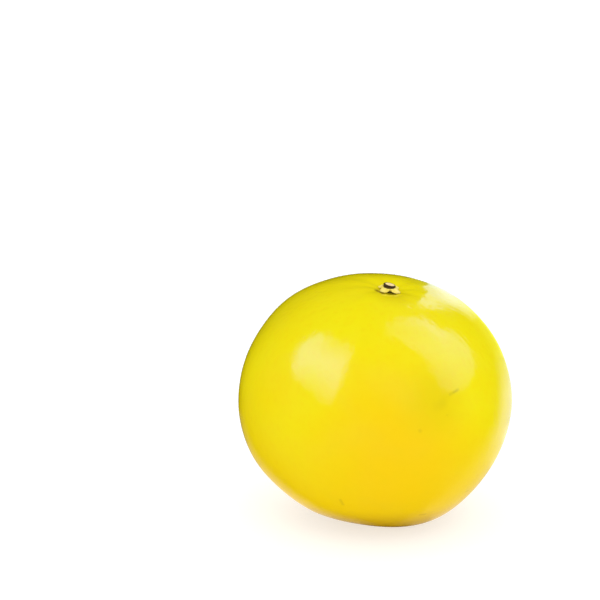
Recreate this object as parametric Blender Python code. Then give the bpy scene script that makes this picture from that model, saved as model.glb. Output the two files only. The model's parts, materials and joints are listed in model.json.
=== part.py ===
"""Sweet orange, as picked, with its calyx and the cut stub of its stem.

Metres, +Z up. The fruit rests on a small flat spot and leans a little: its stem axis
tips towards -Y, the side that it is seen from, and towards +X. The origin is on the
surface that it rests on, under the middle of its box.

Each piece is turned round the stem axis first, then grown: one smooth map, shared by
all the pieces, swells and furrows the turned shape, so they still fit each other.
"""

import math

import bmesh
import bpy
from mathutils import Euler, Vector

# Body of the fruit
GREATEST_DIAMETER = 0.0735
HEIGHT = 0.0660
FULLNESS = 2.1
BASIN_DEPTH = 0.0013
BASIN_SPREAD = 0.0052
DIMPLE_DEPTH = 0.0009
DIMPLE_SPREAD = 0.0046
SCAR_HEIGHT = 0.0005
SCAR_SPREAD = 0.0014

# Furrows that run out from the stem, deepest at FURROW_RADIUS and unevenly spaced
FURROWS = 9
FURROW_DEPTH = 0.00026
FURROW_RADIUS = 0.0085
FURROW_DRIFT = 0.8

# Slow waves in the skin along X, Y and Z
RELIEF = 0.0002
RELIEF_SIZES = (0.0055, 0.0042, 0.0061)
RELIEF_PHASES = (0.4, 2.0, 1.0)

# Swellings (height over 0) and flats (height under 0) that make this fruit its own shape:
# degrees round the stem from +X, degrees above the waist, spread in degrees, height
SWELLINGS = [
    (32.0, 46.0, 22.0, 0.0005),
    (168.0, 18.0, 20.0, -0.0004),
    (-152.0, -43.0, 18.0, -0.0008),
    (-95.0, -60.0, 20.0, -0.0009),
    (-44.0, -44.0, 20.0, 0.0006),
    (-14.0, -22.0, 20.0, -0.0007),
    (100.0, 12.0, 38.0, 0.0005),
    (70.0, -30.0, 26.0, -0.0003),
    (135.0, -66.0, 24.0, 0.0006),
]

# How it rests
LEAN_FORWARD = math.radians(9.0)
LEAN_RIGHT = math.radians(6.3)
RESTING_DEPTH = 0.0010

# Stem end, with heights measured from the skin
CLEARANCE = 0.0003
PIT_RADIUS = 0.0017
PIT_DEPTH = 0.0016
SOCKET_RADIUS = 0.0013
SOCKET_FLOOR = 0.0003
CALYX_CORE = 0.0020
CALYX_TOP = 0.00095
CALYX_BEVEL = 0.00015
SEPAL_THICKNESS = 0.0006
SEPAL_POINT = 0.9
TIP_LIFT = 0.0003
STUB_RADIUS = 0.00165
STUB_TOP = 0.0021
STUB_BEVEL = 0.00018
CUT_SLOPE = 0.18

# Sepals: degrees round the stem from +X, half width in degrees, reach from the stem axis
SEPALS = [
    (-138.0, 48.0, 0.0037),
    (-44.0, 48.0, 0.0041),
    (26.0, 36.0, 0.0033),
    (92.0, 38.0, 0.0037),
    (160.0, 37.0, 0.0034),
]

# Fineness of the meshes
FRUIT_SEGMENTS = 84
FRUIT_RINGS = 50
RING_CROWDING = 0.55
CALYX_SEGMENTS = 75
STUB_SEGMENTS = 30
MERGE = 1e-7


def bell(distance, spread):
    """One at no distance, falling smoothly to nothing a few spreads away."""
    return math.exp(-((distance / spread) ** 2))


def skin_height(radius):
    """Height of the turned skin over the waist, on the stem's side, at a radius."""
    flatness = 1.0 - (radius / (GREATEST_DIAMETER / 2)) ** FULLNESS
    dome = HEIGHT / 2 * flatness ** (1 / FULLNESS)
    return dome - BASIN_DEPTH * bell(radius, BASIN_SPREAD)


def section_point(polar):
    """Radius and height of the turned skin at an angle from the stem, a superellipse."""
    radius = GREATEST_DIAMETER / 2 * math.sin(polar) ** (2 / FULLNESS)
    if polar < math.pi / 2:
        return radius, skin_height(radius)
    height = -HEIGHT / 2 * (-math.cos(polar)) ** (2 / FULLNESS)
    dimple = DIMPLE_DEPTH * bell(radius, DIMPLE_SPREAD)
    scar = SCAR_HEIGHT * bell(radius, SCAR_SPREAD)
    return radius, height + dimple - scar


def on_sphere(around, above):
    """Unit vector at an angle round the stem and an angle above the waist, in degrees."""
    a, b = math.radians(around), math.radians(above)
    return Vector((math.cos(a) * math.cos(b), math.sin(a) * math.cos(b), math.sin(b)))


def grown(point):
    """Moves a point of the turned shape to its place on the grown, uneven fruit."""
    point = Vector(point)
    outward = point.normalized()
    waves = zip(point, RELIEF_SIZES, RELIEF_PHASES)
    rise = RELIEF * math.prod(math.sin(along / size + phase) for along, size, phase in waves)
    for around, above, spread, height in SWELLINGS:
        apart = outward.angle(on_sphere(around, above))
        rise += height * bell(apart, math.radians(spread))
    radius = math.hypot(point.x, point.y)
    turn = math.atan2(point.y, point.x)
    near = radius / FURROW_RADIUS
    wave = 0.5 - 0.5 * math.cos(FURROWS * turn + FURROW_DRIFT * math.sin(2.0 * turn))
    furrow = FURROW_DEPTH * near * math.exp(1.0 - near) * wave * max(outward.z, 0.0)
    return point + outward * rise - Vector((0.0, 0.0, furrow))


def turned(profile, segments):
    """A bmesh of a profile of radius and height, from axis to axis, spun round +Z."""
    bm = bmesh.new()
    points = [bm.verts.new((radius, 0.0, height)) for radius, height in profile]
    edges = [bm.edges.new(pair) for pair in zip(points, points[1:])]
    bmesh.ops.spin(
        bm,
        geom=points + edges,
        cent=(0.0, 0.0, 0.0),
        axis=(0.0, 0.0, 1.0),
        angle=math.tau,
        steps=segments,
        use_merge=True,
    )
    bmesh.ops.remove_doubles(bm, verts=bm.verts, dist=MERGE)
    return bm


def finished(name, bm, material, collection):
    """Grows the piece, turns its faces outwards and links it as an object."""
    for vert in bm.verts:
        vert.co = grown(vert.co)
    bmesh.ops.triangulate(bm, faces=bm.faces)
    bmesh.ops.recalc_face_normals(bm, faces=bm.faces)
    mesh = bpy.data.meshes.new(name)
    bm.to_mesh(mesh)
    bm.free()
    mesh.shade_smooth()
    mesh.set_sharp_from_angle(angle=math.radians(50.0))
    mesh.materials.append(material)
    piece = bpy.data.objects.new(name, mesh)
    collection.objects.link(piece)
    return piece


def surface(name, colour, roughness):
    """A plain Principled material."""
    material = bpy.data.materials.new(name)
    material.use_nodes = True
    shader = material.node_tree.nodes["Principled BSDF"]
    shader.inputs["Base Color"].default_value = (*colour, 1.0)
    shader.inputs["Roughness"].default_value = roughness
    shader.inputs["Metallic"].default_value = 0.0
    return material


def make_fruit(collection):
    """The whole fruit, with a pit at the stem end that holds the calyx's root."""
    mouth = math.asin((PIT_RADIUS / (GREATEST_DIAMETER / 2)) ** (FULLNESS / 2))
    floor = skin_height(PIT_RADIUS) - PIT_DEPTH
    profile = [(0.0, floor), (PIT_RADIUS, floor)]
    for ring in range(FRUIT_RINGS + 1):
        share = ring / FRUIT_RINGS
        crowded = share - RING_CROWDING * math.sin(math.tau * share) / math.tau
        profile.append(section_point(mouth + (math.pi - mouth) * crowded))
    skin = surface("peel", (0.91, 0.70, 0.01), 0.32)
    return finished("fruit", turned(profile, FRUIT_SEGMENTS), skin, collection)


def sepal_reach(turn):
    """How far the calyx reaches from the stem axis in a direction, in radians round it."""
    reach = CALYX_CORE
    for around, half_width, length in SEPALS:
        aside = math.remainder(turn - math.radians(around), math.tau)
        share = min(abs(aside) / math.radians(half_width), 1.0)
        lobe = math.cos(share * math.pi / 2) ** SEPAL_POINT
        reach = max(reach, CALYX_CORE + (length - CALYX_CORE) * lobe)
    return reach


def make_calyx(collection):
    """The star of five sepals, with its root in the fruit and a socket for the stem.

    It is turned as a round plate, then pulled in between the sepals and laid on the skin.
    """
    longest = max(length for around, half_width, length in SEPALS)
    shares = [0.0, 0.35, 0.7, 1.0]
    edge = CLEARANCE + SEPAL_THICKNESS
    root = PIT_RADIUS - CLEARANCE
    profile = [
        (0.0, SOCKET_FLOOR),
        (SOCKET_RADIUS, SOCKET_FLOOR),
        (SOCKET_RADIUS, CALYX_TOP - CALYX_BEVEL),
        (SOCKET_RADIUS + CALYX_BEVEL, CALYX_TOP),
    ]
    for share in shares:
        height = CALYX_TOP + (edge - CALYX_TOP) * share
        profile.append((CALYX_CORE + (longest - CALYX_CORE) * share, height))
    for share in reversed(shares):
        profile.append((CALYX_CORE + (longest - CALYX_CORE) * share, CLEARANCE))
    profile += [
        (root + CALYX_BEVEL, CLEARANCE),
        (root, CLEARANCE - CALYX_BEVEL),
        (root, CLEARANCE - PIT_DEPTH),
        (0.0, CLEARANCE - PIT_DEPTH),
    ]
    bm = turned(profile, CALYX_SEGMENTS)
    for vert in bm.verts:
        radius = math.hypot(vert.co.x, vert.co.y)
        turn = math.atan2(vert.co.y, vert.co.x)
        share = max(radius - CALYX_CORE, 0.0) / (longest - CALYX_CORE)
        length = sepal_reach(turn) - CALYX_CORE
        radius = min(radius, CALYX_CORE) + length * share
        lift = TIP_LIFT * share**2 * length / (longest - CALYX_CORE)
        height = skin_height(radius) + vert.co.z + lift
        vert.co = (radius * math.cos(turn), radius * math.sin(turn), height)
    sepal = surface("sepal", (0.72, 0.52, 0.12), 0.6)
    return finished("calyx", bm, sepal, collection)


def make_stem_stub(collection):
    """The stub that is left of the stem, cut on a slant, with its core in the calyx."""
    base = SOCKET_FLOOR + CLEARANCE
    core_radius = SOCKET_RADIUS - CLEARANCE
    shoulder = CALYX_TOP + CLEARANCE
    profile = [
        (0.0, base),
        (core_radius, base),
        (core_radius, shoulder),
        (STUB_RADIUS, shoulder),
        (STUB_RADIUS, STUB_TOP - STUB_BEVEL),
        (STUB_RADIUS - STUB_BEVEL, STUB_TOP),
        (0.0, STUB_TOP - STUB_BEVEL / 2),
    ]
    bm = turned(profile, STUB_SEGMENTS)
    for vert in bm.verts:
        if vert.co.z > shoulder + STUB_BEVEL:
            vert.co.z -= CUT_SLOPE * vert.co.x
        vert.co.z += skin_height(0.0)
    bark = surface("bark", (0.10, 0.06, 0.03), 0.7)
    return finished("stem_stub", bm, bark, collection)


def lay_down(pieces, collection):
    """Leans the pieces on one empty, and presses flat the spot that the fruit rests on."""
    fruit = pieces[0]
    lean = Euler((LEAN_FORWARD, LEAN_RIGHT, 0.0)).to_matrix()
    leaned = [lean @ vert.co for vert in fruit.data.vertices]
    middle_x = (min(p.x for p in leaned) + max(p.x for p in leaned)) / 2
    middle_y = (min(p.y for p in leaned) + max(p.y for p in leaned)) / 2
    lift = -min(p.z for p in leaned) - RESTING_DEPTH
    place = Vector((-middle_x, -middle_y, lift))
    for vert, point in zip(fruit.data.vertices, leaned):
        if point.z + lift < 0.0:
            vert.co = lean.transposed() @ Vector((point.x, point.y, -lift))
    stem_axis = bpy.data.objects.new("stem_axis", None)
    collection.objects.link(stem_axis)
    stem_axis.location = place
    stem_axis.rotation_euler = (LEAN_FORWARD, LEAN_RIGHT, 0.0)
    for piece in pieces:
        piece.parent = stem_axis


def main():
    for old in list(bpy.data.objects):
        bpy.data.objects.remove(old)
    collection = bpy.data.collections.new("sweet_orange")
    bpy.context.scene.collection.children.link(collection)
    fruit = make_fruit(collection)
    calyx = make_calyx(collection)
    stem_stub = make_stem_stub(collection)
    lay_down([fruit, calyx, stem_stub], collection)


main()
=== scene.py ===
# %% [markdown]
# # A whole sweet orange
#
# This lesson dresses a fruit that was first made as plain solids: the fruit, its calyx
# and the cut stub of its stem. The solids say how big each piece is and where it stands.
# Here each of them is replaced by a finer surface with a skin, a colour and a shine.
#
# The solids load as a fixed frame, in metres, with +Z up and the table at a height of
# zero. Nothing in the frame is moved, so every finer piece is worked out in its place.

import itertools
import json

import bpy
import numpy as np
from mathutils import Euler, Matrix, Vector

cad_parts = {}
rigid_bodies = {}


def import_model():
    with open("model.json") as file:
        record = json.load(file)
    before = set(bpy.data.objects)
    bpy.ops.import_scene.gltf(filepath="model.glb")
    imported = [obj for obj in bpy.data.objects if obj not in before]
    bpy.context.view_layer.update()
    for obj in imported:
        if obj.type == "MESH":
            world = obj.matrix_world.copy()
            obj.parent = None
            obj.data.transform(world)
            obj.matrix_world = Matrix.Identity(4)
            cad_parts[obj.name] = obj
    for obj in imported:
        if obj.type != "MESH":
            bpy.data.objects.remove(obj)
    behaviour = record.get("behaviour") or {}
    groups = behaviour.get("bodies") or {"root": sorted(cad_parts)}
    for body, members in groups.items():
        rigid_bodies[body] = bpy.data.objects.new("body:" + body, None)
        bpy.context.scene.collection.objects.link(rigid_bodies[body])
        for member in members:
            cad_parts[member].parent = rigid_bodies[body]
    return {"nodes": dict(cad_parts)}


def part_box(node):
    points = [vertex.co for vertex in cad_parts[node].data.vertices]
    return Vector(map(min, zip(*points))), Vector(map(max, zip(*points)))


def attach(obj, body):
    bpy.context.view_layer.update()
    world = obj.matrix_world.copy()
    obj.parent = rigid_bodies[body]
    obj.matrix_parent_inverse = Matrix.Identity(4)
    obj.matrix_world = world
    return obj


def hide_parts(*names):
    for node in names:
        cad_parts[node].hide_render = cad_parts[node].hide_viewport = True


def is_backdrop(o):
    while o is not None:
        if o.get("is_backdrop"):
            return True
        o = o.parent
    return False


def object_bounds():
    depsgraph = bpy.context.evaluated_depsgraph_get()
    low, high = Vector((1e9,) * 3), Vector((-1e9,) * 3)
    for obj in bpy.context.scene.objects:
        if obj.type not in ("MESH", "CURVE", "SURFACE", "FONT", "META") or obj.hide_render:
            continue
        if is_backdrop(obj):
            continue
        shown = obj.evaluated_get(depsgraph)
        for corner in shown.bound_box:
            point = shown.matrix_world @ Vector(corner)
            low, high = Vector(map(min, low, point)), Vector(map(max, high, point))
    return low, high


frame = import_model()
cad_low, cad_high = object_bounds()
print("solids:", ", ".join(sorted(frame["nodes"])))
print("box of the solids in mm:", [round(1000 * side, 1) for side in cad_high - cad_low])

# %% [markdown]
# ## The turned body
#
# An orange grows round its stem, so half of its section, spun round the stem axis, gives
# most of its shape. A circle is too round for that section. A superellipse with a power
# a little over 2 is a circle whose shoulders are slightly filled out, as an orange's are.
#
# Two soft dips are pressed into it: the basin that the stem stands in, and the dimple at
# the blossom end with the small scar in its middle. A bell curve makes such a dip in one
# line, because it is smooth and fades out by itself.

# %% The superellipse with its basin and dimple
GREATEST_DIAMETER = 0.0735
HEIGHT = 0.0660
FULLNESS = 2.1
BASIN_DEPTH, BASIN_SPREAD = 0.0013, 0.0052
DIMPLE_DEPTH, DIMPLE_SPREAD = 0.0009, 0.0046
SCAR_HEIGHT, SCAR_SPREAD = 0.0005, 0.0014


def bell(distance, spread):
    """One at no distance, and e to the minus (distance over spread) squared further out."""
    return np.exp(-((distance / spread) ** 2))


def skin_height(radius):
    """Height of the upper skin over the waist: the superellipse, less the stem's basin."""
    flatness = 1.0 - np.minimum(radius / (GREATEST_DIAMETER / 2), 1.0) ** FULLNESS
    return HEIGHT / 2 * flatness ** (1 / FULLNESS) - BASIN_DEPTH * bell(radius, BASIN_SPREAD)


def skin_section(polar):
    """Radius and height of the skin at angles from the stem, both ends dipped by bells.

    The radius is half the diameter times the angle's sine to the power 2 over fullness.
    The height below the waist is the same with the cosine, and above it skin_height.
    """
    radius = GREATEST_DIAMETER / 2 * np.abs(np.sin(polar)) ** (2 / FULLNESS)
    under = -HEIGHT / 2 * np.abs(np.cos(polar)) ** (2 / FULLNESS)
    under += DIMPLE_DEPTH * bell(radius, DIMPLE_SPREAD) - SCAR_HEIGHT * bell(radius, SCAR_SPREAD)
    return radius, np.where(polar < np.pi / 2, skin_height(radius), under)


print("turned body:", 1000 * GREATEST_DIAMETER, "mm across,", 1000 * HEIGHT, "mm high")

# %% [markdown]
# ## Growth
#
# No fruit is a perfect turning. One smooth map moves every point of the turned shape a
# little outwards or inwards: slow waves in the skin, broad swellings and flats that are
# this fruit's own, and shallow furrows that run out from the stem like spokes.
#
# The same map moves the calyx and the stub too, so they still fit the fruit afterwards.
# It works on whole arrays of points at once, so numpy makes it quick.

# %% The growth map
RELIEF = 0.0002
RELIEF_SIZES = np.array([0.0055, 0.0042, 0.0061])
RELIEF_PHASES = np.array([0.4, 2.0, 1.0])
FURROWS, FURROW_DRIFT = 9, 0.8
FURROW_DEPTH, FURROW_RADIUS = 0.00009, 0.0085

# Degrees round the stem from +X, degrees above the waist, spread in degrees, height
SWELLINGS = np.array([
    (32, 46, 22, 0.0005),
    (168, 18, 20, -0.0004),
    (-152, -43, 18, -0.0008),
    (-95, -60, 20, -0.0009),
    (-44, -44, 20, 0.0006),
    (-14, -22, 20, -0.0007),
    (100, 12, 38, 0.0005),
    (70, -30, 26, -0.0003),
    (135, -66, 24, 0.0006),
])


def directions(around, above):
    """Unit vectors at angles round the stem and above the waist, in degrees."""
    a, b = np.radians(around), np.radians(above)
    return np.stack([np.cos(a) * np.cos(b), np.sin(a) * np.cos(b), np.sin(b)], axis=-1)


def grown(points):
    """Moves points of the turned shape to their places on the uneven fruit.

    Each rises outwards by the product of a sine along X, Y and Z, plus one bell of the
    angle to each swelling. Then it drops by the furrows: a cosine round the stem, which
    fades with the radius and is deepest at the furrow radius.
    """
    outward = points / np.linalg.norm(points, axis=-1, keepdims=True)
    rise = RELIEF * np.prod(np.sin(points / RELIEF_SIZES + RELIEF_PHASES), axis=-1)
    centres = directions(SWELLINGS[:, 0], SWELLINGS[:, 1])
    apart = np.arccos(np.clip(outward @ centres.T, -1.0, 1.0))
    rise += (SWELLINGS[:, 3] * bell(apart, np.radians(SWELLINGS[:, 2]))).sum(axis=-1)
    turn = np.arctan2(points[..., 1], points[..., 0])
    near = np.hypot(points[..., 0], points[..., 1]) / FURROW_RADIUS
    wave = 0.5 - 0.5 * np.cos(FURROWS * turn + FURROW_DRIFT * np.sin(2.0 * turn))
    furrow = FURROW_DEPTH * near * np.exp(1.0 - near) * wave * np.maximum(outward[..., 2], 0.0)
    moved = points + outward * rise[..., None]
    moved[..., 2] -= furrow
    return moved


print("growth map:", len(SWELLINGS), "swellings and flats,", FURROWS, "furrows")

# %% [markdown]
# ## Rings of points
#
# A turned surface is a grid: one number says how far along the section a point is, and
# the other how far round the stem. Each row of the grid is a ring.
#
# The rings are crowded towards both ends, where the section bends most. The last ring at
# each end is a single point, and a fan of triangles closes the surface there, so that it
# has no hole and no pinched pole.

# %% From a section to rings
RING_CROWDING = 0.55


def crowded(steps):
    """Shares from 0 to 1 with more at both ends: the share less a sine of a whole turn."""
    share = np.linspace(0.0, 1.0, steps)
    return share - RING_CROWDING * np.sin(2 * np.pi * share) / (2 * np.pi)


def rings_round(radius, height, turn):
    """Points at radius times the turn's cosine, radius times its sine, and height."""
    radius, height, turn = np.broadcast_arrays(radius, height, turn)
    return np.stack([radius * np.cos(turn), radius * np.sin(turn), height], axis=-1)


print("closeness at the ends:", round(1 / (1 - RING_CROWDING), 1))


# %% From rings to a closed mesh
def add(name, data):
    """Puts a mesh, a camera or a lamp in the scene as an object at the origin."""
    added = bpy.data.objects.new(name, data)
    bpy.context.scene.collection.objects.link(added)
    return added


def net(rows, places):
    """Four corners of each face between a row of points and the next, all the way round."""
    here = np.arange(rows * places).reshape(rows, places)
    beside = np.roll(here, -1, axis=1)
    return np.stack([here[:-1], here[1:], beside[1:], beside[:-1]], axis=-1)


def closed_mesh(name, rings, sharp_over):
    """A mesh whose faces join each ring to the next, with a fan at both ends.

    Faces that meet at more than sharp_over degrees are shaded with a sharp edge.
    """
    rows, places = rings.shape[0] - 2, rings.shape[1]
    points = np.concatenate([rings[0, :1], rings[1:-1].reshape(-1, 3), rings[-1, :1]])
    walls = 1 + net(rows, places)
    first, last = np.zeros(places, dtype=int), np.full(places, len(points) - 1)
    first_fan = np.stack([first, walls[0, :, 0], walls[0, :, 3]], axis=-1)
    last_fan = np.stack([walls[-1, :, 2], walls[-1, :, 1], last], axis=-1)
    faces = walls.reshape(-1, 4).tolist() + first_fan.tolist() + last_fan.tolist()
    mesh = bpy.data.meshes.new(name)
    mesh.from_pydata(points.tolist(), [], faces)
    mesh.shade_smooth()
    mesh.set_sharp_from_angle(angle=np.radians(sharp_over))
    print(name, "has", 2 * (rows - 1) * places + 2 * places, "triangles")
    return add(name, mesh)


def give_values(piece, name, values):
    """Keeps one number for each point of a closed mesh, for its material to read."""
    flat = np.concatenate([values[0, :1], values[1:-1].ravel(), values[-1, :1]])
    held = piece.data.attributes.new(name, "FLOAT", "POINT")
    held.data.foreach_set("value", flat.astype(np.float32))


# %% [markdown]
# ## The section of the peel
#
# The section starts in the middle of the pit that the calyx is rooted in, comes up the
# pit's wall, and then runs over the skin from the stem to the blossom end.

# %% Rings of the smooth peel
PIT_RADIUS, PIT_DEPTH = 0.0017, 0.0016
PEEL_RINGS, PEEL_PLACES = 214, 440


def peel_section(rings):
    """Radius and height from the pit's floor, up its wall and over the skin."""
    mouth = np.arcsin((PIT_RADIUS / (GREATEST_DIAMETER / 2)) ** (FULLNESS / 2))
    radius, height = skin_section(mouth + (np.pi - mouth) * crowded(rings))
    floor = skin_height(PIT_RADIUS) - PIT_DEPTH
    radius[-1] = 0.0
    return np.append([0.0, PIT_RADIUS], radius), np.append([floor, floor], height)


peel_radius, peel_height = peel_section(PEEL_RINGS)
peel_turn = np.linspace(0.0, 2 * np.pi, PEEL_PLACES, endpoint=False)
peel_rings = grown(rings_round(peel_radius[:, None], peel_height[:, None], peel_turn))
print("peel grid:", peel_rings.shape[0], "rings of", peel_rings.shape[1], "points")

# %% [markdown]
# ## Oil glands
#
# The pits of an orange's skin lie over oil glands, a little over a millimetre apart and
# never in rows. A cellular pattern gives such a layout: space is cut into cubes, each cube
# holds one gland at a place of its own, and a pit is wherever a gland is near.
#
# The place in each cube comes from a sine of the cube's number with all but its last
# digits thrown away. It looks random, and is the same on every run.
#
# The pits are in the mesh, so that they show in its outline.
# The finer grain between them comes later, from the material.

# %% Pits over the glands
GLAND_SPACING = 0.0017
GLAND_PIT_RADIUS, GLAND_PIT_DEPTH = 0.00105, 0.000034
GLAND_FREE_RADIUS = 0.0045
CELL_STIR = np.array([[127.1, 269.5, 113.5], [311.7, 183.3, 271.9], [74.7, 246.1, 124.6]])
CELL_SPREAD = 43758.5453


def gland_places(cells):
    """One place in each cube: the last digits of a large sine of the cube's number."""
    return np.modf(np.abs(np.sin(cells @ CELL_STIR)) * CELL_SPREAD)[0]


def gland_distance(points):
    """Distance from each point to the nearest gland, over its own cube and the 26 round it."""
    place = points / GLAND_SPACING
    cube = np.floor(place)
    nearest = np.full(points.shape[:-1], np.inf)
    for step in itertools.product((-1, 0, 1), repeat=3):
        near = cube + step
        gap = np.linalg.norm(near + gland_places(near) - place, axis=-1)
        nearest = np.minimum(nearest, gap)
    return nearest * GLAND_SPACING


def smooth_step(share):
    """Three times the square less twice the cube: from 0 to 1, level at both ends."""
    return share * share * (3.0 - 2.0 * share)


def pit_share(points):
    """From 0 on open skin to 1 over a gland: a smooth step of the distance to it."""
    near = np.clip(1.0 - gland_distance(points) / GLAND_PIT_RADIUS, 0.0, 1.0)
    from_stem = np.hypot(points[..., 0], points[..., 1])
    open_skin = 1.0 - (points[..., 2] > 0.0) * bell(from_stem, GLAND_FREE_RADIUS)
    return smooth_step(near) * open_skin


pits = pit_share(peel_rings)
inward = peel_rings / np.linalg.norm(peel_rings, axis=-1, keepdims=True)
pitted_rings = peel_rings - inward * (GLAND_PIT_DEPTH * pits)[..., None]
print("skin under a pit:", round(100 * float((pits > 0.1).mean())), "percent")

# %% [markdown]
# ## How it rests
#
# The fruit leans: its stem tips towards the viewer and a little to the right. The frame
# says where the fruit's box is, so the leaned skin is moved until its middle is over the
# origin and its top is as high as the solid's. What then lies under the table is the
# small flat spot that the fruit rests on, so it is pressed up to the table.

# %% Lean the fruit and set it on the table
LEAN_FORWARD = np.radians(9.0)
LEAN_RIGHT = np.radians(6.3)
lean = np.array(Euler((LEAN_FORWARD, LEAN_RIGHT, 0.0)).to_matrix())

leaned = peel_rings @ lean.T
leaned_low, leaned_high = leaned.min(axis=(0, 1)), leaned.max(axis=(0, 1))
middle = (leaned_low + leaned_high) / 2
fruit_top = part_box("fruit")[1].z
place = np.array([-middle[0], -middle[1], fruit_top - leaned_high[2]])


def laid_down(points):
    """Leans points round the origin, moves them to the frame and keeps them off the table."""
    set_down = points @ lean.T + place
    set_down[..., 2] = np.maximum(set_down[..., 2], 0.0)
    return set_down


smooth_skin = laid_down(peel_rings)
stem_axis = lean @ np.array([0.0, 0.0, 1.0])
print("middle of the fruit in mm:", (1000 * place).round(2))

# %% The peel
peel = closed_mesh("orange_peel", laid_down(pitted_rings), 60.0)
give_values(peel, "pit", pits)
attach(peel, "root")
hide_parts("fruit")

# %% [markdown]
# ## The calyx
#
# Five small sepals held the flower bud. On the ripe fruit they are a dry, straw-coloured
# star that hugs the basin, with the stem's stub standing in its middle.
#
# It is a turned plate again, but now its reach changes round the stem: between two sepals
# it is pulled in to the core, and along a sepal it runs out to the tip. Each sepal is
# thick at its root and thin at its rim, has a raised rib, and comes down to the skin at its
# tip. Between two sepals the edge arches up, which leaves a dark cleft under it.

# %% How far the star reaches
CALYX_CORE = 0.00175
SEPAL_SIDE, SEPAL_POINT = 1.4, 0.8
EDGE_WAVE = 0.016
EDGE_WAVES = [(11, 1.0), (23, 4.0)]
CALYX_PLACES = 300

# Degrees round the stem from +X, half width in degrees, reach, and lift of the tip
SEPALS = np.array([
    (-125, 39, 0.0034, 0.00006),
    (-38, 39, 0.0036, 0.00004),
    (34, 34, 0.003, 0.0001),
    (98, 33, 0.0033, 0.0002),
    (163, 33, 0.0029, 0.0001),
])


def sepal_lobes(turn):
    """One row for each sepal: 1 on its rib, less a power of the way from there to its side."""
    half_width = np.radians(SEPALS[:, 1:2])
    aside = np.abs((turn - np.radians(SEPALS[:, :1]) + np.pi) % (2 * np.pi) - np.pi)
    return 1.0 - np.minimum(aside / half_width, 1.0) ** SEPAL_SIDE


calyx_turn = np.linspace(0.0, 2 * np.pi, CALYX_PLACES, endpoint=False)
lobes = sepal_lobes(calyx_turn)
reaches = CALYX_CORE + (SEPALS[:, 2:3] - CALYX_CORE) * lobes**SEPAL_POINT
rib = lobes.max(axis=0)
ripple = sum(np.sin(waves * calyx_turn + phase) for waves, phase in EDGE_WAVES)
star_reach = reaches.max(axis=0) * (1.0 + EDGE_WAVE * ripple * rib)
tip_lift = (SEPALS[:, 3:4] * lobes).max(axis=0)
print(f"the star reaches {1000 * star_reach.min():.1f} to {1000 * star_reach.max():.1f} mm out")

# %% The two faces of the sepals
CLEARANCE = 0.0003
CALYX_TOP = 0.00110
SEPAL_RIM = 0.00015
TIP_DROP, CLEFT_RISE = 0.00022, 0.00060
RIB_HEIGHT, RIB_SHARPNESS = 0.00012, 6
CREASE_DEPTH, CREASES = 0.00006, 7
WRINKLE_HEIGHT, WRINKLES = 0.00002, 7
WRINKLE_DRIFT, DRIFT_WAVES = 3, 5
edge_height = tip_lift - TIP_DROP + CLEFT_RISE * (1.0 - rib) ** 2


def over_sepals(share):
    """Radius and height over the skin of the upper face, at shares of the way to the rim.

    The height falls as a smooth step, less far in the clefts between two sepals. The rib
    is a ridge that fades at both ends, with creases beside it and wrinkles across it.
    """
    share = share[:, None]
    radius = CALYX_CORE + (star_reach - CALYX_CORE) * share
    height = CALYX_TOP + (CLEARANCE + SEPAL_RIM + edge_height - CALYX_TOP) * smooth_step(share)
    ridge = RIB_HEIGHT * np.sin(np.pi * share) * rib**RIB_SHARPNESS
    crease = CREASE_DEPTH * np.sin(np.pi * share) * (0.5 - 0.5 * np.cos(CREASES * np.pi * rib))
    drift = WRINKLE_DRIFT * np.sin(DRIFT_WAVES * calyx_turn)
    wrinkle = WRINKLE_HEIGHT * share * np.sin(WRINKLES * np.pi * share + drift)
    return radius, height + ridge - crease + wrinkle


def under_sepals(share):
    """Radius and height over the skin of the lower face, which arches over each cleft."""
    share = share[:, None]
    radius = CALYX_CORE + (star_reach - CALYX_CORE) * share
    return radius, CLEARANCE + edge_height * share**2


print("edge of the star in mm over the skin:", (1000 * (CLEARANCE + edge_height)).round(2)[::60])

# %% The whole section of the star, from its socket over the sepals to its root
SOCKET_RADIUS, SOCKET_FLOOR = 0.0013, 0.0003
CALYX_BEVEL = 0.00015
SEPAL_STEPS = 16
ROOT_RADIUS, ROOT_END = PIT_RADIUS - CLEARANCE, CLEARANCE - PIT_DEPTH


def stacked(sections, places):
    """Radii and heights of all rings of some sections: grids, or numbers for a level ring."""
    ring = np.zeros((1, places))
    grids = [np.broadcast_arrays(radius, height, ring)[:2] for radius, height in sections]
    return [np.concatenate(rows) for rows in zip(*grids)]


outwards = np.linspace(0.0, 1.0, SEPAL_STEPS)
star_sections = [
    (0.0, SOCKET_FLOOR),
    (SOCKET_RADIUS, SOCKET_FLOOR),
    (SOCKET_RADIUS, CALYX_TOP - CALYX_BEVEL),
    (SOCKET_RADIUS + CALYX_BEVEL, CALYX_TOP),
    over_sepals(outwards),
    under_sepals(outwards[::-1]),
    (ROOT_RADIUS + CALYX_BEVEL, CLEARANCE),
    (ROOT_RADIUS, CLEARANCE - CALYX_BEVEL),
    (ROOT_RADIUS, ROOT_END),
    (0.0, ROOT_END),
]
star_radius, over_skin = stacked(star_sections, CALYX_PLACES)
star_rings = grown(rings_round(star_radius, skin_height(star_radius) + over_skin, calyx_turn))
print("star grid:", star_rings.shape[0], "rings of", star_rings.shape[1], "points")

# %% The star itself, with its edge, ribs and underside marked for the material
SOCKET_RINGS, RIM_RINGS = 4, 2
LEAST_WIDTH = 1e-6

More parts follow.
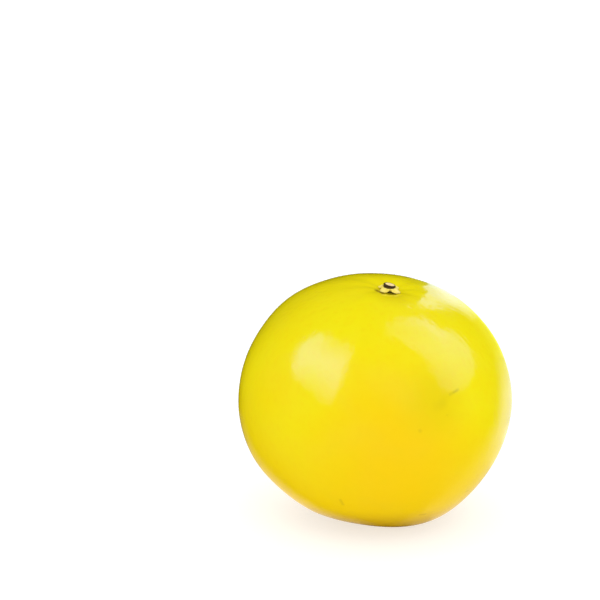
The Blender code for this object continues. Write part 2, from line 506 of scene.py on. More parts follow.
calyx = closed_mesh("sepal_star", laid_down(star_rings), 70.0)
rim_share = (star_radius - CALYX_CORE) / (star_reach - CALYX_CORE + LEAST_WIDTH)
underside = np.zeros(star_radius.shape)
underside[SOCKET_RINGS + SEPAL_STEPS + RIM_RINGS :] = 1.0
give_values(calyx, "rim", np.clip(rim_share, 0.0, 1.0))
give_values(calyx, "rib", np.broadcast_to(rib, star_radius.shape))
give_values(calyx, "under", underside)
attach(calyx, "root")
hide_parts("calyx")

# %% [markdown]
# ## The stub of the stem
#
# Pickers cut an orange off its stem, which leaves a woody stub a few millimetres high: a
# ring of dark bark round a pale, slanting cut face with a darker pith in its middle. The
# bark is cut aslant too, so it looks broader on the high side of the cut.
#
# It is turned from the middle of the cut face, over the bark's rim and down the side. The
# side has ridges of several widths that run up it, a slight waist and a flared foot. The
# bark stands a hair over the wood, because wood shrinks more than bark as it dries.

# %% The cut face of the stub
STUB_RADIUS, STUB_TOP = 0.00165, 0.00176
CUT_SLOPE, LOW_SIDE = 0.15, np.radians(40.0)
BARK_WIDTH, BARK_UNEVEN = 0.00038, 0.45
BARK_STAND, BARK_CREST, CREST_SPREAD = 0.00009, 0.6, 0.5
EDGE_ROUNDING = 0.00016
RAYS, RAY_HEIGHT = 23, 0.00002
PITH_DEPTH, PITH_SPREAD = 0.00006, 0.00030
STUB_PLACES = 160

# Ridges round the stub, their height and their phase
RIDGES = [(3, 0.00004, 0.3), (5, 0.00003, 2.0), (9, 0.00002, 4.1), (17, 0.000012, 1.2)]

stub_turn = np.linspace(0.0, 2 * np.pi, STUB_PLACES, endpoint=False)
ridges = sum(height * np.sin(waves * stub_turn + phase) for waves, height, phase in RIDGES)
downhill = np.cos(stub_turn - LOW_SIDE)
bark_width = BARK_WIDTH * (1.0 - BARK_UNEVEN * downhill)


def cut_face(share):
    """Radius and height of rings over the sloping wood and up over the rounded bark.

    The wood's rays are a sine round the stem, and its pith is dipped by a bell. The bark
    stands up by a bell of the way in from the edge, in widths of the bark.
    """
    share = share[:, None]
    radius = (STUB_RADIUS + ridges) * np.sin(share * np.pi / 2)
    rays = RAY_HEIGHT * np.sin(RAYS * stub_turn) * np.sin(np.pi * share)
    from_edge = (STUB_RADIUS - radius) / bark_width
    bark = BARK_STAND * bell(from_edge - BARK_CREST, CREST_SPREAD)
    round_off = EDGE_ROUNDING * np.clip(1.0 - from_edge, 0.0, 1.0) ** 2
    pith = PITH_DEPTH * bell(radius, PITH_SPREAD)
    return radius, STUB_TOP + rays + bark - round_off - pith - CUT_SLOPE * radius * downhill


print(f"bark: {1000 * bark_width.min():.2f} to {1000 * bark_width.max():.2f} mm wide")

# %% The whole section of the stub, from its cut face down to its core
WAIST_DEPTH, FOOT_FLARE = 0.00012, 0.00004
FACE_STEPS, SIDE_STEPS = 26, 12
STUB_GAP = 0.00002
SHOULDER = CALYX_TOP + STUB_GAP
CORE_RADIUS, CORE_END = SOCKET_RADIUS - CLEARANCE, SOCKET_FLOOR + CLEARANCE


def bark_side(share):
    """Rings down the side: pulled in at the waist by half a sine, flared at the foot."""
    share = share[:, None]
    edge_radius, edge_height = cut_face(np.array([1.0]))
    radius = edge_radius - WAIST_DEPTH * np.sin(np.pi * share) + FOOT_FLARE * share**4
    return radius, edge_height + (SHOULDER - edge_height) * share


stub_sections = [
    cut_face(np.linspace(0.0, 1.0, FACE_STEPS)),
    bark_side(np.linspace(0.0, 1.0, SIDE_STEPS)[1:]),
    (CORE_RADIUS, SHOULDER),
    (CORE_RADIUS, CORE_END),
    (0.0, CORE_END),
]
stub_radius, stub_height = stacked(stub_sections, STUB_PLACES)
stub_rings = grown(rings_round(stub_radius, stub_height + skin_height(0.0), stub_turn))
print("stub grid:", stub_rings.shape[0], "rings of", stub_rings.shape[1], "points")

# %% The stub itself, with its cut face marked for the material
WOOD_EDGE = 0.0001

stub = closed_mesh("stem_stub_wood", laid_down(stub_rings), 60.0)
inside_bark = STUB_RADIUS - bark_width - stub_radius[:FACE_STEPS]
wood = np.zeros(stub_radius.shape)
wood[:FACE_STEPS] = np.clip(inside_bark / WOOD_EDGE, 0.0, 1.0)
give_values(stub, "wood", wood)
give_values(stub, "from_pith", stub_radius / STUB_RADIUS)
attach(stub, "root")
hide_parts("stem_stub")

# %% [markdown]
# ## The camera
#
# The picture was taken with a long lens from a little above the fruit, which stands low in
# the frame and right of its middle. The camera is turned so that the middle of the fruit's
# box falls on the pixel where the picture has it. Distance and lens set the size in the
# frame, and the height comes from how far the calyx is seen from the top of the outline.

# %% Place the camera
PICTURE_SIZE = 600
LENS, SENSOR = 100.0, 36.0
VIEW_DISTANCE = 0.4507
VIEW_ELEVATION = np.radians(16.5)
FRUIT_PIXEL = np.array([374.7, 396.3])

pixels = LENS / SENSOR * PICTURE_SIZE
box_middle = np.array([0.0, 0.0, (cad_low.z + cad_high.z) / 2])
towards_fruit = np.array([0.0, np.cos(VIEW_ELEVATION), -np.sin(VIEW_ELEVATION)])
eye = box_middle - VIEW_DISTANCE * towards_fruit

right, down = (FRUIT_PIXEL - PICTURE_SIZE / 2) / pixels
length = np.sqrt(1 + right**2 + down**2)
pitch = np.arcsin(length * np.sin(VIEW_ELEVATION) / np.sqrt(1 + down**2)) - np.arctan(down)
yaw = np.arctan2(right, np.cos(pitch) - down * np.sin(pitch))

camera = add("camera", bpy.data.cameras.new("camera"))
camera.data.lens = LENS
camera.data.sensor_width = SENSOR
camera.location = eye
camera.rotation_euler = (np.pi / 2 - pitch, 0.0, yaw)
bpy.context.scene.camera = camera
bpy.context.view_layer.update()
print(f"camera looks {np.degrees(pitch):.2f} degrees down and {np.degrees(yaw):.2f} left")

# %% [markdown]
# ## From a pixel to the skin
#
# Marks and bright patches are easiest to place by where they are seen in the picture. A
# ray from the camera through a pixel meets the skin at a point in metres. From then on the
# mark belongs to that place on the skin, whichever side it is looked at from.

# %% Rays through pixels
turned_to = np.array(camera.matrix_world.to_3x3())


def through(pixel):
    """Where the ray of a pixel meets the peel or else passes it, the ray, and if it met."""
    across = (pixel[0] - PICTURE_SIZE / 2) / pixels
    up = (PICTURE_SIZE / 2 - pixel[1]) / pixels
    ray = turned_to @ np.array([across, up, -1.0])
    ray /= np.linalg.norm(ray)
    met, point = peel.ray_cast(Vector(eye), Vector(ray))[:2]
    passing = eye + ray * ((box_middle - eye) @ ray)
    return np.array(point) if met else passing, ray, met


def on_skin(pixel):
    """The point of the peel that is seen at a pixel of the picture."""
    point, ray, met = through(pixel)
    if not met:
        raise ValueError(f"no skin at pixel {pixel}")
    return point


facing = on_skin(FRUIT_PIXEL)
print("front of the fruit in mm:", (1000 * facing).round(1))

# %% Which way the smooth skin faces
TINY = 1e-12
along_rings = np.roll(smooth_skin, -1, axis=1) - np.roll(smooth_skin, 1, axis=1)
skin_faces = np.cross(along_rings, np.gradient(smooth_skin, axis=0))
skin_faces /= -np.linalg.norm(skin_faces, axis=-1, keepdims=True) + TINY


def skin_normal(point):
    """The outward cross product of both ways along the grid, at its nearest point."""
    gap = np.linalg.norm(smooth_skin - point, axis=-1)
    return skin_faces.reshape(-1, 3)[gap.argmin()]


print("front of the fruit faces", skin_normal(facing).round(2))

# %% [markdown]
# ## Shader nodes in few words
#
# A material is a network: small nodes, each with inputs and outputs, joined by links. A
# few helpers keep it readable. One puts a node in a network and fills its inputs, either
# with numbers or with another node's output. The others each stand for a common step,
# such as some arithmetic or a smooth fade.

# %% Helpers for networks
def fill(tree, node, inputs):
    """Fills inputs of a node, each with a value or with the output of another node."""
    for name, value in inputs.items():
        if isinstance(value, bpy.types.NodeSocket):
            tree.links.new(value, node.inputs[name])
        else:
            node.inputs[name].default_value = value


def put(tree, kind, inputs=None, **settings):
    """Adds a node to a network, sets its options and fills its inputs."""
    node = tree.nodes.new(kind)
    for name, value in settings.items():
        setattr(node, name, value)
    fill(tree, node, inputs or {})
    return node


def number(tree, operation, *values):
    """One step of arithmetic on numbers."""
    return put(tree, "ShaderNodeMath", dict(enumerate(values)), operation=operation).outputs[0]


def vector(tree, operation, first, second):
    """One step of arithmetic on two vectors, or on a vector and the number that scales it."""
    inputs = {0: first, "Scale" if operation == "SCALE" else 1: second}
    outputs = put(tree, "ShaderNodeVectorMath", inputs, operation=operation).outputs
    return outputs["Value" if operation in ("DISTANCE", "DOT_PRODUCT") else "Vector"]


def eased(tree, value, start, stop, first=0.0, last=1.0):
    """Goes smoothly from the first number to the last while a value goes from start to stop."""
    inputs = {"Value": value, "From Min": start, "From Max": stop, "To Min": first, "To Max": last}
    return put(tree, "ShaderNodeMapRange", inputs, interpolation_type="SMOOTHSTEP").outputs[0]


print("the helpers for networks are ready")

# %% [markdown]
# ## Effects that are used again and again
#
# Three effects are used many times, so each is built once as a node group.
#
# - A soft patch: one in its middle and nothing past its reach, with a ragged edge. Noise
#   shifts the point before its distance is measured, and that makes the edge wander.
# - A line mark, for scratches and one painted shadow: one along a line between two
#   points, nothing a width away from it.
# - Blotches: cloudy noise of a size and a detail, stretched so that a low value gives 0
#   and a high value gives 1.

# %% The soft patch
def new_group(name, vectors, numbers):
    """An empty group that puts out a mask, with vectors and then numbers as its inputs."""
    group = bpy.data.node_groups.new(name, "ShaderNodeTree")
    for label in vectors:
        group.interface.new_socket(label, in_out="INPUT", socket_type="NodeSocketVector")
    for label, value in numbers.items():
        socket = group.interface.new_socket(label, in_out="INPUT", socket_type="NodeSocketFloat")
        socket.default_value = value
    group.interface.new_socket("Mask", in_out="OUTPUT", socket_type="NodeSocketFloat")
    given, result = group.nodes.new("NodeGroupInput"), group.nodes.new("NodeGroupOutput")
    print("new group:", name)
    return group, given.outputs, result


def cloudy(tree, position, size, detail):
    """Cloudy noise whose clouds are about a size across."""
    inputs = {"Vector": position, "Scale": number(tree, "DIVIDE", 1.0, size), "Detail": detail}
    return put(tree, "ShaderNodeTexNoise", inputs).outputs


sizes = {"Core": 0.0, "Reach": 0.02, "Wander": 0.0, "Wander Size": 0.01}
patch, given, result = new_group("soft patch", ["Position", "Middle"], sizes)
cloud = cloudy(patch, given["Position"], given["Wander Size"], 3.0)["Color"]
centred = vector(patch, "SUBTRACT", cloud, (0.5, 0.5, 0.5))
shift = vector(patch, "SCALE", centred, given["Wander"])
moved = vector(patch, "ADD", given["Position"], shift)
gap = vector(patch, "DISTANCE", moved, given["Middle"])
fill(patch, result, {"Mask": eased(patch, gap, given["Core"], given["Reach"], 1.0, 0.0)})

# %% The line mark, for scratches and a painted shadow
line_mark, given, result = new_group("line_mark", ["Position", "From", "To"], {"Width": 0.0005})
line = vector(line_mark, "SUBTRACT", given["To"], given["From"])
start = vector(line_mark, "SUBTRACT", given["Position"], given["From"])
ahead = vector(line_mark, "DOT_PRODUCT", start, line)
share = number(line_mark, "DIVIDE", ahead, vector(line_mark, "DOT_PRODUCT", line, line))
held = put(line_mark, "ShaderNodeClamp", {"Value": share}).outputs[0]
aside = vector(line_mark, "DISTANCE", start, vector(line_mark, "SCALE", line, held))
fill(line_mark, result, {"Mask": eased(line_mark, aside, 0.0, given["Width"], 1.0, 0.0)})

# %% The blotches
levels = {"Size": 0.01, "Detail": 4.0, "Low": 0.35, "High": 0.65}
blotches, given, result = new_group("blotches", ["Position"], levels)
cloud = cloudy(blotches, given["Position"], given["Size"], given["Detail"])[0]
fill(blotches, result, {"Mask": eased(blotches, cloud, given["Low"], given["High"])})

# %% [markdown]
# ## The colour of the peel
#
# This orange is still turning. It is lemon yellow at the stem and along its sides, and
# golden low on the side that is seen, with a trace of green and brown in places. Such
# slow changes of colour are patches laid over each other, each with its middle on the
# skin, its reach and a wandering edge. A few of the patches are painted shade instead:
# darker mustard where less light falls, and a painted shadow in front of the calyx.
#
# The pits are a little deeper in colour than the skin between them, because the oil in
# the glands shows through. The mesh carries a number for that.

# %% From lemon yellow at the stem to gold at the blossom end
LEMON = (0.80, 0.70, 0.0035)
GOLD = (0.83, 0.545, 0.0035)
LEMON_OVER, GOLD_UNDER = 0.020, -0.034


def new_material(name):
    """A material with its network, which already holds a shader."""
    material = bpy.data.materials.new(name)
    material.use_nodes = True
    return material, material.node_tree


def blended(tree, mask, first, second):
    """The first colour where the mask is 0 and the second where it is 1."""
    colours = [(*c, 1.0) if isinstance(c, tuple) else c for c in (first, second)]
    mix = put(tree, "ShaderNodeMix", {0: mask, 6: colours[0], 7: colours[1]}, data_type="RGBA")
    return mix.outputs[2]


peel_skin, tree = new_material("orange peel")
position = put(tree, "ShaderNodeTexCoord").outputs["Object"]
up_stem = vector(tree, "DOT_PRODUCT", position, tuple(stem_axis))
waist = float(place @ stem_axis)
ripeness = eased(tree, up_stem, waist + LEMON_OVER, waist + GOLD_UNDER)
colour = blended(tree, ripeness, LEMON, GOLD)
print("waist along the stem axis in mm:", round(1000 * waist, 1))

# %% Patches of ripening, and patches of painted shade, placed by the picture
MUSTARD = (0.67, 0.54, 0.005)
CALYX_SHADOW_OLIVE = (0.17, 0.13, 0.006)
WANDER_TO_REACH = 0.4

# Pixel of the middle, core and reach in metres, wander of the edge, colour, strength
RIPENING_AND_SHADE = [
    ((402, 476), 0.004, 0.03, 0.01, GOLD, 0.9),
    ((384, 420), 0.004, 0.026, 0.008, GOLD, 0.55),
    ((272, 388), 0.002, 0.012, 0.004, GOLD, 0.25),
    # painted shade: darker mustard on the upper-left shoulder, where less light falls
    ((284, 320), 0.004, 0.02, 0.006, MUSTARD, 0.15),
    # painted shade: darker mustard along the top of the fruit
    ((340, 292), 0.002, 0.014, 0.004, MUSTARD, 0.1),
    # painted shade: darker mustard on the slopes of the stem's basin
    ((395, 296), 0.001, 0.008, 0.002, MUSTARD, 0.45),
    ((436, 400), 0.001, 0.013, 0.004, MUSTARD, 0.55),
    # painted shadow on the peel in front of the calyx's middle cleft
    ((391.5, 294), 0.0005, 0.0019, 0.0004, CALYX_SHADOW_OLIVE, 0.85),
]


def use(tree, group, *values):
    """The mask of a group placed in a network, with its inputs filled in their order."""
    return put(tree, "ShaderNodeGroup", dict(enumerate(values)), node_tree=group).outputs["Mask"]


def tinted(tree, colour, mask, strength, tint):
    """A colour with a tint laid over it, as strongly as the mask times the strength."""
    return blended(tree, number(tree, "MULTIPLY", mask, strength), colour, tint)


for pixel, core, reach, wander, tint, strength in RIPENING_AND_SHADE:
    sizes = (core, reach, wander, WANDER_TO_REACH * reach)
    patch_mask = use(tree, patch, position, tuple(on_skin(pixel)), *sizes)
    colour = tinted(tree, colour, patch_mask, strength, tint)
print("patches of ripening:", len(RIPENING_AND_SHADE))

# %% The foot of the fruit: painted shade, a deeper orange near the table
FOOT_SHADE_ORANGE = (0.52, 0.30, 0.010)
FOOT_FULL, FOOT_TOP, FOOT_STRENGTH = 0.0035, 0.0115, 0.8

# painted shade: the skin darkens to orange brown over the last millimetres above the table
height = put(tree, "ShaderNodeSeparateXYZ", {0: position}).outputs["Z"]
foot_shade = eased(tree, height, FOOT_FULL, FOOT_TOP, FOOT_STRENGTH, 0.0)
colour = blended(tree, foot_shade, colour, FOOT_SHADE_ORANGE)
print("the foot is deeper orange up to", 1000 * FOOT_TOP, "mm")

# %% The side that is not seen: a green blush, as the fruit turns last where it is shaded
GREEN_BLUSH, BLUSH_STRENGTH = (0.50, 0.56, 0.006), 0.32
BLUSH_SIZES = (0.002, 0.036, 0.030, 0.016)
BLUSH_SIDE = directions(118.0, 12.0) * GREATEST_DIAMETER / 2

blush_middle = lean @ BLUSH_SIDE + place
blush = use(tree, patch, position, tuple(blush_middle), *BLUSH_SIZES)
colour = tinted(tree, colour, blush, BLUSH_STRENGTH, GREEN_BLUSH)
print("middle of the blush in mm:", (1000 * blush_middle).round(1))

# %% Mottling and the deeper colour of the pits
CLOUD_STRENGTH, FRECKLE_STRENGTH = 0.10, 0.07
PIT_TINT, PIT_STRENGTH = (0.80, 0.50, 0.003), 0.16


def kept(tree, name):
    """The number that the mesh keeps for each of its points under a name."""
    return put(tree, "ShaderNodeAttribute", attribute_name=name).outputs["Fac"]


clouds = use(tree, blotches, position, 0.014, 3.0, 0.38, 0.66)
freckles = use(tree, blotches, position, 0.0032, 2.0, 0.45, 0.75)
colour = tinted(tree, colour, clouds, CLOUD_STRENGTH, GOLD)
colour = tinted(tree, colour, freckles, FRECKLE_STRENGTH, MUSTARD)
colour = tinted(tree, colour, kept(tree, "pit"), PIT_STRENGTH, PIT_TINT)
print("nodes so far:", len(tree.nodes))

# %% [markdown]
# ## Small marks
#
# Every picked fruit has a few: a scratch from a twig, rub marks that heal olive brown, and
# dots where a gland died. They are placed at the pixels where they are seen. One dark line
# beside the calyx is a painted shadow under a sepal's edge. The blossom end has a small
# corky scar, where the flower's style fell off.

# %% Scratches and dots, and one painted shadow
OLIVE = (0.42, 0.36, 0.010)
BROWN = (0.26, 0.14, 0.012)
SEPAL_SHADOW_BROWN = (0.16, 0.095, 0.002)

# Pixel of each end, width in metres, tint, strength
SCRATCHES_AND_SHADOW = [
    ((450, 394.5), (458, 389.5), 0.0007, OLIVE, 0.34),
    ((453.5, 392.6), (457, 390.4), 0.00045, BROWN, 0.16),
    ((437, 406.5), (442, 404.5), 0.0022, OLIVE, 0.1),
    ((443, 401.5), (445, 397), 0.0024, OLIVE, 0.08),
    ((340.5, 500), (343, 504.5), 0.0007, BROWN, 0.22),
    ((420, 514.8), (425, 514.2), 0.0007, BROWN, 0.26),
    ((419.8, 430.7), (420.4, 431.1), 0.0008, BROWN, 0.16),
    ((447, 415), (447.3, 415.2), 0.0006, BROWN, 0.08),
    ((466, 491.5), (468.5, 490.5), 0.0007, BROWN, 0.16),
    # painted shadow, not a mark: the dark line under the left sepal's lifted edge
    ((377, 290.6), (382.8, 293.6), 0.00115, SEPAL_SHADOW_BROWN, 0.85),
]
for first, second, width, tint, strength in SCRATCHES_AND_SHADOW:
    ends = (tuple(on_skin(first)), tuple(on_skin(second)))
    mark = use(tree, line_mark, position, *ends, width)
    colour = tinted(tree, colour, mark, strength, tint)
print("marks on the skin:", len(SCRATCHES_AND_SHADOW))

# %% The blossom end: a small corky scar in its dimple
CORK, CORK_STRENGTH = (0.33, 0.22, 0.07), 0.9
CORK_SIZES = (0.0010, 0.0024, 0.0016, 0.0016)

blossom = lean @ np.array([0.0, 0.0, -HEIGHT / 2]) + place
scar = use(tree, patch, position, tuple(blossom), *CORK_SIZES)
colour = tinted(tree, colour, scar, CORK_STRENGTH, CORK)
print("blossom end in mm:", (1000 * blossom).round(1))

# %% [markdown]
# ## The shine of the peel
#
# The skin is waxy: a clear but soft reflection, a little duller where the wax has rubbed
# off. A fine grain between the glands breaks the edge of each reflection. Its cells are
# small, so it is a bump in the material and not points in the mesh.

# %% Roughness and fine grain
WAXED, RUBBED_ADDS, CORK_ADDS = 0.11, 0.05, 0.35
WAX_IOR = 1.42
GRAIN_SPACING, GRAIN_DEPTH = 0.00075, 0.000009


def relief(tree, height, depth):
    """A bump from a height, and the depth in metres that a height of 1 stands for."""
    return put(tree, "ShaderNodeBump", {"Height": height, "Distance": depth}).outputs[0]


def dress(piece, material, inputs):
    """Fills the inputs of a material's own shader, and puts the material on a piece."""
    tree = material.node_tree
    fill(tree, tree.nodes["Principled BSDF"], inputs)
    piece.data.materials.append(material)
    print(material.name, "has", len(tree.nodes), "nodes")


rubbed = use(tree, blotches, position, 0.009, 3.0, 0.35, 0.7)
dulled = number(tree, "MULTIPLY_ADD", rubbed, RUBBED_ADDS, WAXED)
cells = {"Vector": position, "Scale": 1.0 / GRAIN_SPACING}
grain = put(tree, "ShaderNodeTexVoronoi", cells, feature="SMOOTH_F1").outputs["Distance"]
dress(peel, peel_skin, {
    "Base Color": colour,
    "Roughness": number(tree, "MULTIPLY_ADD", scar, CORK_ADDS, dulled),
    "IOR": WAX_IOR,
    "Normal": relief(tree, grain, GRAIN_DEPTH),
})

# %% [markdown]
# ## Dry sepals
#
# Dead sepals are straw-coloured and papery, browner towards their thin rims, with a paler
# rib. Underneath, away from the rib, they are painted a dark olive shade, the shadow in the
# clefts under their arched edges. The mesh says how near the rim and how near the rib each
# point is, and which face it is on. A power of such a number narrows it: the higher the
# power, the thinner the line.

# %% A network for the sepals
STRAW, PAPER_STRENGTH = (0.90, 0.73, 0.11), 0.22
PALE_RIB, RIB_POWER, RIB_STRENGTH = (0.94, 0.82, 0.22), 8.0, 0.6
DRY_RIM, RIM_POWER, RIM_STRENGTH = (0.55, 0.38, 0.05), 10.0, 0.5
CLEFT_SHADE, CLEFT_POWER, CLEFT_STRENGTH = (0.13, 0.10, 0.012), 3.0, 0.9
PAPER_DEPTH = 0.00003

sepal, tree = new_material("dry sepal")
position = put(tree, "ShaderNodeTexCoord").outputs["Object"]
paper = use(tree, blotches, position, 0.0008, 3.0, 0.35, 0.7)
near_rib, near_rim = kept(tree, "rib"), kept(tree, "rim")
# painted shade: the underside, away from the rib, is darkened to olive as the clefts are in shadow
beside_rib = number(tree, "SUBTRACT", 1.0, number(tree, "POWER", near_rib, CLEFT_POWER))
cleft_shade = number(tree, "MULTIPLY", kept(tree, "under"), beside_rib)
rib_line = number(tree, "POWER", near_rib, RIB_POWER)
rim_line = number(tree, "POWER", near_rim, RIM_POWER)
colour = tinted(tree, STRAW, paper, PAPER_STRENGTH, DRY_RIM)
colour = tinted(tree, colour, rib_line, RIB_STRENGTH, PALE_RIB)
colour = tinted(tree, colour, rim_line, RIM_STRENGTH, DRY_RIM)
dress(calyx, sepal, {
    "Base Color": tinted(tree, colour, cleft_shade, CLEFT_STRENGTH, CLEFT_SHADE),
    "Roughness": 0.65,
    "Specular IOR Level": 0.3,
    "Normal": relief(tree, paper, PAPER_DEPTH),
})

# %% [markdown]
# ## Bark and cut wood
#
# One material covers the stub. The number kept in the mesh is 1 on the cut wood and 0 on
# the bark, so it mixes the two. The wood is a pale straw yellow, with fine rings round the
# pith. The bark is very dark brown, with paler flecks.

# %% A network for the stub
CUT_WOOD = (0.92, 0.71, 0.34)
WOOD_RING, RING_RADIANS, RING_SWING, RING_STRENGTH = (0.62, 0.40, 0.19), 34.0, 0.07, 0.10
PITH, PITH_FULL, PITH_END, PITH_STRENGTH = (0.34, 0.20, 0.09), 0.08, 0.22, 0.35
BARK, PALE_BARK = (0.038, 0.018, 0.001), (0.095, 0.058, 0.010)
FLECK_DEPTH = 0.00004

stub_wood, tree = new_material("bark and cut wood")
position = put(tree, "ShaderNodeTexCoord").outputs["Object"]
from_pith = kept(tree, "from_pith")
ring_wave = number(tree, "SINE", number(tree, "MULTIPLY", from_pith, RING_RADIANS))
ring_mask = number(tree, "MULTIPLY_ADD", ring_wave, RING_SWING, RING_STRENGTH)
ringed = blended(tree, ring_mask, CUT_WOOD, WOOD_RING)
pith_mask = eased(tree, from_pith, PITH_FULL, PITH_END, PITH_STRENGTH, 0.0)
cut_colour = blended(tree, pith_mask, ringed, PITH)
flecks = use(tree, blotches, position, 0.0005, 4.0, 0.35, 0.7)
bark_colour = blended(tree, flecks, BARK, PALE_BARK)
dress(stub, stub_wood, {
    "Base Color": blended(tree, kept(tree, "wood"), bark_colour, cut_colour),
    "Roughness": 0.80,
    "Specular IOR Level": 0.2,
    "Normal": relief(tree, flecks, FLECK_DEPTH),
})

# %% [markdown]
# ## The table
#
# A plain white table, large enough to fill the picture. It lights the fruit from below,
# as white paper does, and its own glow keeps it white in the picture. The fruit's
# reflections leave it out, because the yellow would look milky with it.

# %% A plain pale floor
WHITE = (1.0, 1.0, 1.0, 1.0)
PAPER_GREY, PAPER_GLOW = (0.50, 0.50, 0.50, 1.0), 0.62
FLOOR_HALF, FLOOR_LEVEL = 4.0, -0.00002

sides = [(-1, -1), (1, -1), (1, 1), (-1, 1)]
corners = [(x * FLOOR_HALF, y * FLOOR_HALF, FLOOR_LEVEL) for x, y in sides]
floor = add("floor", bpy.data.meshes.new("floor"))
floor.data.from_pydata(corners, [], [(0, 1, 2, 3)])
floor.visible_glossy = False
dress(floor, new_material("white paper")[0], {
    "Base Color": PAPER_GREY,
    "Roughness": 0.9,
    "Specular IOR Level": 0.0,
    "Emission Color": WHITE,
    "Emission Strength": PAPER_GLOW,
})
floor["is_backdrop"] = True

# %% [markdown]
# ## Windows, found from their reflections
#
# The bright patches on a glossy fruit are mirror images of the windows round it. That can
# be run backwards. A ray goes from the camera to the corner of a patch and bounces off the
# skin as off a mirror, and the window's corner stands somewhere along the bounced ray. Close
# to the outline the bounce is so slight that past it the ray simply goes straight on.
#
# Each window is a small net of panes between such corners, and each corner has a glow. A
# patch fades out where its last corners have no glow, as a window with a thin curtain does.
# The panes glow and are clear as well, so where two windows overlap their light adds up.
#
# Windows give only shine here. The even light of the room does the rest, so that each can be
# set by itself. Their tints are bluer than they look, as the skin's yellow is added to them.

# %% The glow of a window
CLEAR_SKY = (0.15, 0.35, 1.0)
PALE_SKY = (0.45, 0.60, 1.0)
DAY_LIGHT = (0.85, 0.88, 1.0)
GREEN_LIGHT = (0.95, 1.0, 0.12)
TABLE_LIGHT = (1.0, 0.80, 0.48)

window_glow, tree = new_material("window glow")
tree.nodes.clear()
glow = put(tree, "ShaderNodeAttribute", attribute_name="glow").outputs["Color"]
light = put(tree, "ShaderNodeEmission", {"Color": glow})
clear = put(tree, "ShaderNodeBsdfTransparent")
both = put(tree, "ShaderNodeAddShader", {0: light.outputs[0], 1: clear.outputs[0]})
put(tree, "ShaderNodeOutputMaterial", {"Surface": both.outputs[0]})
print("nodes in the glow:", len(tree.nodes))

# %% Build a window from the corners of its reflection
WINDOW_REACH = 0.6
MIDDLE_RING = 0.5


def bounced(pixel):
    """The skin's point plus the window's reach along the ray, less twice its share on the normal."""
    point, ray, met = through(pixel)
    if met:
        normal = skin_normal(point)
        ray = ray - 2.0 * (ray @ normal) * normal
    return point + WINDOW_REACH * ray


def window(name, rows, tint, closed=False):
    """A net whose knots are the bounced rays of corners: rows of x, y and glow."""
    rows = np.array(rows, dtype=float)
    knots = rows.reshape(-1, 3)
    points = [tuple(bounced(knot[:2])) for knot in knots]
    panes = net(*rows.shape[:2])
    if not closed:
        panes = panes[:, :-1]
    mesh = bpy.data.meshes.new(name)
    mesh.from_pydata(points, [], panes.reshape(-1, 4).tolist())
    colours = knots[:, 2:] * np.array([*tint, 1.0])
    held = mesh.attributes.new("glow", "FLOAT_COLOR", "POINT")
    held.data.foreach_set("color", colours.ravel().astype(np.float32))
    mesh.materials.append(window_glow)
    panel = add(name, mesh)
    panel.visible_camera = panel.visible_diffuse = panel.visible_shadow = False
    panel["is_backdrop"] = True
    print(name, "stands round", np.mean(points, axis=0).round(2))


def spread(middle, corners, fade):
    """Three rows: just round the middle, the corners, and fade pixels past them with no glow."""
    corners = np.array(corners, dtype=float)
    outward = corners[:, :2] - middle[:2]
    outward /= np.linalg.norm(outward, axis=1, keepdims=True)
    inner = np.array(middle) + np.pad(MIDDLE_RING * outward, ((0, 0), (0, 1)))
    outer = np.column_stack([corners[:, :2] + fade * outward, np.zeros(len(corners))])
    return [inner, corners, outer]


# %% The windows of this room
# Corners as pixels across and down the picture, with their glow
LEFT_WINDOW = [
    (319, 335, 4), (310, 340, 4.4), (303, 346, 5.3), (298, 354, 5.7), (295, 364, 5.3), (295, 374, 3.3),
    (303, 382, 2), (314, 391, 1.3), (321, 400, 1.2), (328, 404, 1.4), (333, 397, 2.8), (337, 387, 5.3),
    (341, 376, 5.9), (345, 363, 5.5), (350, 352, 2.6), (349, 345, 1.7), (339, 342, 1.1), (330, 338, 1.8),
]
RIGHT_WINDOW = [
    (388, 335, 1), (388, 325, 1), (399, 321, 1.7), (411, 320, 2.4), (421, 320, 4.6), (431, 325, 5.6),
    (440, 332, 4), (452, 334, 2.5), (463, 343, 2.1), (470, 355, 2), (472, 371, 1.5), (467, 383, 1.3),
    (456, 389, 1.6), (444, 388, 1.3), (438, 377, 1.5), (431, 362, 1.8), (419, 350, 2.6), (404, 342, 2.1),
]
BACK_WINDOW = [
    [(412, 308, 0), (425, 312, 0), (438, 311, 0), (452, 312, 0), (464, 317, 0), (473, 324, 0)],
    [(418, 304, 2.4), (428, 307, 2.5), (438, 305, 1.9), (452, 306, 1.7), (464, 311, 1), (474, 321, 0.12)],
    [(425, 297, 1.9), (432, 300, 2.2), (440, 298, 2.2), (451, 301, 2.1), (464, 308, 1), (476, 319, 0.12)],
    [(431, 278, 0.6), (437, 283, 1), (444, 287, 1.1), (455, 293, 1.1), (468, 302, 0.4), (480, 314, 0.05)],
]
window("window_left", spread((318, 360, 6.4), LEFT_WINDOW, 4.5), CLEAR_SKY, closed=True)
window("window_right", spread((446, 352, 2.8), RIGHT_WINDOW, 5.0), CLEAR_SKY, closed=True)
window("window_back", BACK_WINDOW, PALE_SKY)

# %% [markdown]
# ## Light along the outline
#
# Seen at a grazing angle every skin is a mirror, so whatever is bright behind and under the
# fruit draws a pale line just inside the outline. That line changes its width and its colour
# along the outline, so its corners are given by angles round the middle of the fruit.

# %% Pixels along the outline
SURELY_SKIN, SURELY_AIR = 80.0, 180.0
EXACTNESS = 0.05
PAST_OUTLINE = 12.0


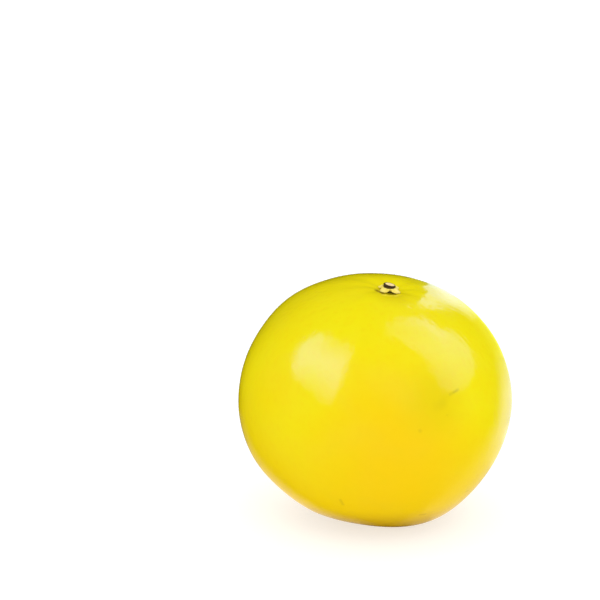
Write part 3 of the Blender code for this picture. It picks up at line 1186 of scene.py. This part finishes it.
def inside_outline(degrees, depths):
    """Pixels at depths inside the outline, found by halving the range that holds the edge."""
    towards = np.array([np.cos(np.radians(degrees)), -np.sin(np.radians(degrees))])
    skin, air = SURELY_SKIN, SURELY_AIR
    while air - skin > EXACTNESS:
        halfway = (skin + air) / 2
        if through(FRUIT_PIXEL + halfway * towards)[2]:
            skin = halfway
        else:
            air = halfway
    return [FRUIT_PIXEL + (skin - depth) * towards for depth in depths]


def along_outline(places):
    """Rows of corners: no glow at the depth, one glow at its half, another past the outline."""
    columns = []
    for degrees, depth, half, edge in places:
        inner, middle, outer = inside_outline(degrees, (depth, depth / 2, -PAST_OUTLINE))
        columns.append([(*inner, 0.0), (*middle, half), (*outer, edge)])
    return list(zip(*columns))


print("lights reach", PAST_OUTLINE, "pixels past the outline")

# %% Four lights along the outline
# Degrees round the middle from the right, depth in pixels, glow at half of it, glow outside
DAY_BEHIND = [
    (22, 8, 0, 0), (16, 12, 0.22, 0.15), (9, 14, 0.6, 0.45), (0, 16, 1.15, 0.85),
    (-9, 17, 1.15, 0.85), (-18, 19, 0.8, 0.65), (-30, 21, 0.25, 0.2), (-40, 20, 0, 0),
]
GREEN_BEHIND = [
    (72, 8, 0, 0), (62, 8, 0.2, 0.5), (52, 10, 0.45, 0.9), (40, 12, 0.65, 1.25),
    (30, 12, 0.65, 1.25), (18, 12, 0.65, 1.35), (9, 12, 0.35, 0.8), (0, 10, 0.12, 0.35),
    (-10, 10, 0.05, 0.25), (-20, 10, 0.15, 0.35), (-30, 10, 0.15, 0.35), (-42, 8, 0, 0),
]
TABLE_RIGHT = [
    (-12, 20, 0, 0), (-24, 26, 0.5, 0.55), (-36, 28, 0.75, 0.8), (-50, 28, 0.75, 0.95),
    (-64, 22, 0.7, 1.1), (-74, 14, 0.35, 0.5), (-82, 8, 0, 0),
]
TABLE_LEFT = [
    (186, 6, 0, 0), (200, 7, 0.3, 0.35), (212, 8, 0.5, 0.8), (225, 9, 0.7, 1.2),
    (238, 9, 0.8, 1.2), (250, 8, 0.6, 0.9), (262, 7, 0.35, 0.55), (272, 6, 0, 0),
]
window("day_behind", along_outline(DAY_BEHIND), DAY_LIGHT)
window("green_behind", along_outline(GREEN_BEHIND), GREEN_LIGHT)
window("table_right", along_outline(TABLE_RIGHT), TABLE_LIGHT)
window("table_left", along_outline(TABLE_LEFT), TABLE_LIGHT)

# %% [markdown]
# ## The even light of the room
#
# The world gives a plain white light from all sides, which is what a light tent does, and
# a white background. Reflections don't see it, so they stay as dark as a room beyond the
# windows would be. A broad, soft lamp over the viewer's right shoulder gives the fruit its
# slight roundness.

# %% World, soft lamp and plain colours
ROOM_LIGHT = 1.09
LAMP_PLACE = Vector((0.30, -0.95, 0.85))
LAMP_SIZE = 0.8
LAMP_POWER = 2.0

world = bpy.data.worlds.new("studio")
bpy.context.scene.world = world
world.use_nodes = True
tree = world.node_tree
tree.nodes.clear()
room = put(tree, "ShaderNodeBackground", {"Color": WHITE, "Strength": ROOM_LIGHT})
put(tree, "ShaderNodeOutputWorld", {"Surface": room.outputs[0]})
world.cycles_visibility.glossy = False

lamp = add("soft_lamp", bpy.data.lights.new("soft lamp", "AREA"))
lamp.data.size = LAMP_SIZE
lamp.data.energy = LAMP_POWER
lamp.location = LAMP_PLACE
lamp.rotation_euler = (Vector(box_middle) - LAMP_PLACE).to_track_quat("-Z", "Y").to_euler()
lamp.visible_glossy = False
bpy.context.scene.view_settings.view_transform = "Standard"
print("lamp stands", round(LAMP_PLACE.length, 2), "m from the fruit")

# %% [markdown]
# ## Sizes, and the end
#
# The dressed fruit has to keep the size of the solids, so both boxes are measured and
# compared. The last line prints how much the box has grown.

# %% Compare the boxes and finish
shown_low, shown_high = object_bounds()
growth = (shown_high - shown_low) - (cad_high - cad_low)
print("box grows in mm by:", [round(1000 * side, 3) for side in growth])
